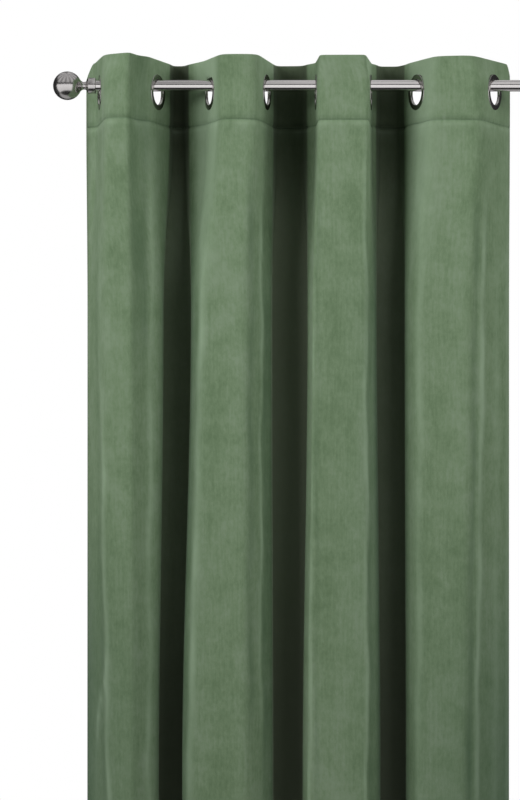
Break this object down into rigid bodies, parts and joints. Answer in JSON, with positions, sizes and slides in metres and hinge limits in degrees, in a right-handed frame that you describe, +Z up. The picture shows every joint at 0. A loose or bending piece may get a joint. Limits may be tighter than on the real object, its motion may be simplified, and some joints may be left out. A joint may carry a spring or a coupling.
{
  "type": "velvet eyelet curtain on a rod",
  "caption": "Velvet curtain with metal eyelet rings in a stiffened heading, hanging in uneven folds on a brushed steel rod with ball finials.",
  "frame": {"origin": "on the rod's axis, halfway between its ends", "axes": "+X along the rod to the right as seen from the room, -Y into the room, +Z up"},
  "size_m": [0.8348, 0.1557, 2.5],
  "materials": {
    "velvet": "short-pile cotton velvet, muted sage green, soft sheen",
    "velvet_heading": "the same velvet turned over a stiffener and stitched",
    "eyelet_metal": "polished nickel",
    "rod_steel": "satin brushed along the rod",
    "finial_steel": "turned and brushed"
  },
  "bodies": {
    "root": {"drop_panel": "velvet", "heading_band": "velvet_heading", "eyelet_1": "eyelet_metal", "eyelet_2": "eyelet_metal", "eyelet_3": "eyelet_metal", "eyelet_4": "eyelet_metal", "eyelet_5": "eyelet_metal", "eyelet_6": "eyelet_metal", "eyelet_7": "eyelet_metal", "eyelet_8": "eyelet_metal", "rod": "rod_steel", "finial_left": "finial_steel", "finial_right": "finial_steel"}
  },
  "joints": []
}
